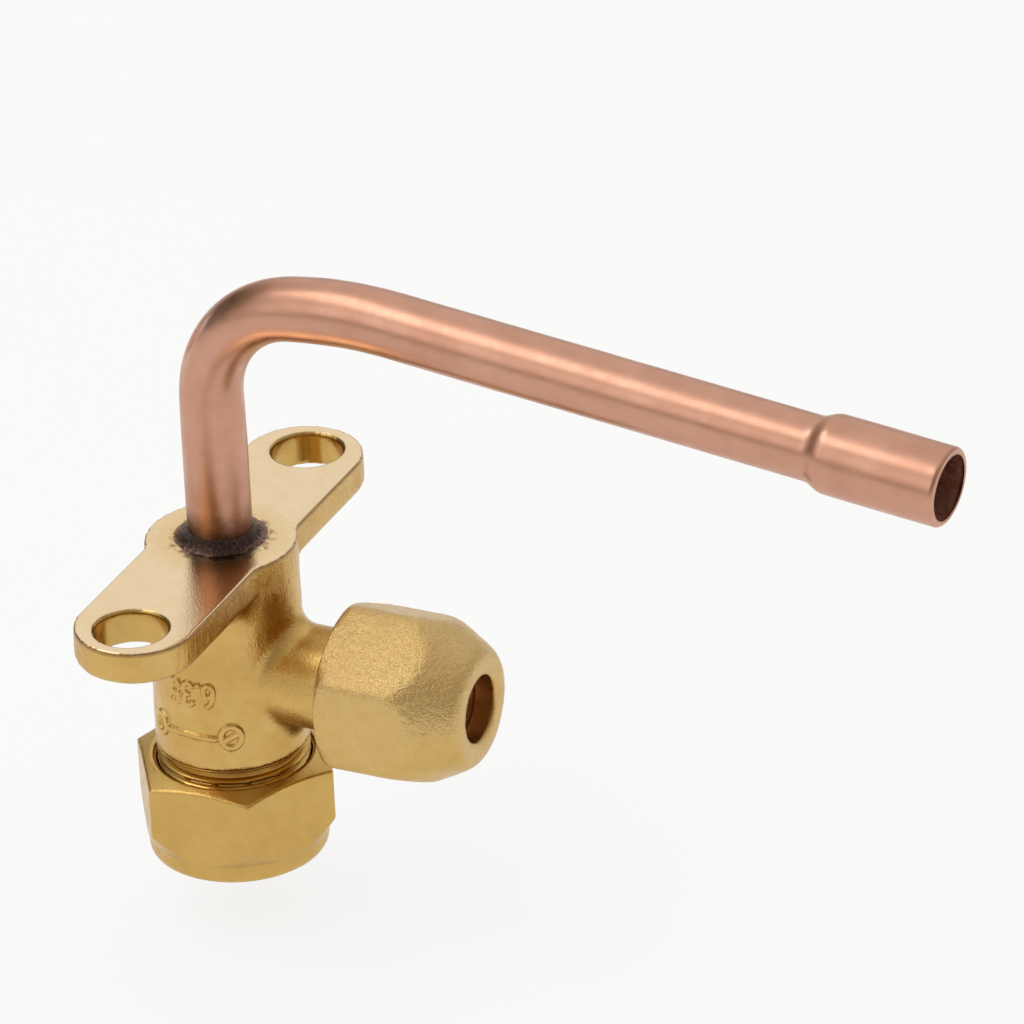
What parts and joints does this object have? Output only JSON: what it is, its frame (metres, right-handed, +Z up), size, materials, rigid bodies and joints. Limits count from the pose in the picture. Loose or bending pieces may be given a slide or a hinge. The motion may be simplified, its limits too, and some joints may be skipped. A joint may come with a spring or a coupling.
{
  "type": "refrigerant service valve",
  "caption": "Forged brass two-way service valve with bolting flange, brazed copper stub tube, flare port and nut, screwed stem cap and internal stem.",
  "frame": {"origin": "middle of the flange's machined top face, on the axis of the stem and the brazed tube", "axes": "+Z up the tube, out of the flange face; +X out of the flare port; +Y along the line of the two flange holes"},
  "size_m": [0.0894, 0.0482, 0.0649],
  "materials": {
    "body_brass": "satin forged brass, machined flange face",
    "copper": "satin drawn copper",
    "braze": "heat-darkened braze alloy",
    "stem_brass": "turned brass",
    "o_ring": "black rubber",
    "spring_steel": "phosphated spring steel",
    "cap_brass": "fine blasted brass",
    "seal_plastic": "white sealing plastic",
    "nut_brass": "grainy forged brass",
    "bonnet_copper": "annealed copper"
  },
  "bodies": {
    "valve": {"valve_body": "body_brass", "copper_tube": "copper", "braze_fillet": "braze", "retaining_ring": "spring_steel"},
    "cap_seat": {"cap_seal": "seal_plastic"},
    "cap": {"stem_cap": "cap_brass"},
    "stem_seal": {"stem_o_ring": "o_ring"},
    "stem": {"valve_stem": "stem_brass"},
    "bonnet": {"flare_bonnet": "bonnet_copper"},
    "nut": {"flare_nut": "nut_brass"}
  },
  "joints": [
    {"name": "cap_advance", "type": "slide", "parent": "valve", "child": "cap_seat", "axis": [0, 0, -1], "range_m": [0, 0.0065]},
    {"name": "cap_turn", "type": "hinge", "parent": "cap_seat", "child": "cap", "pos_m": [0, 0, -0.029], "axis": [0, 0, -1], "range_deg": [0, 2340]},
    {"name": "stem_advance", "type": "slide", "parent": "valve", "child": "stem_seal", "axis": [0, 0, -1], "range_m": [0, 0.003]},
    {"name": "stem_turn", "type": "hinge", "parent": "stem_seal", "child": "stem", "pos_m": [0, 0, -0.02], "axis": [0, 0, -1], "range_deg": [0, 1080]},
    {"name": "nut_advance", "type": "slide", "parent": "valve", "child": "bonnet", "axis": [1, 0, 0], "range_m": [0, 0.00762]},
    {"name": "nut_turn", "type": "hinge", "parent": "bonnet", "child": "nut", "pos_m": [0.02, 0, -0.0137], "axis": [1, 0, 0], "range_deg": [0, 2160]}
  ],
  "couplings": [
    {"joint": "cap_turn", "follows": "cap_advance", "rad_per_m": 6283.2},
    {"joint": "stem_turn", "follows": "stem_advance", "rad_per_m": 6283.2},
    {"joint": "nut_turn", "follows": "nut_advance", "rad_per_m": 4947.4}
  ]
}
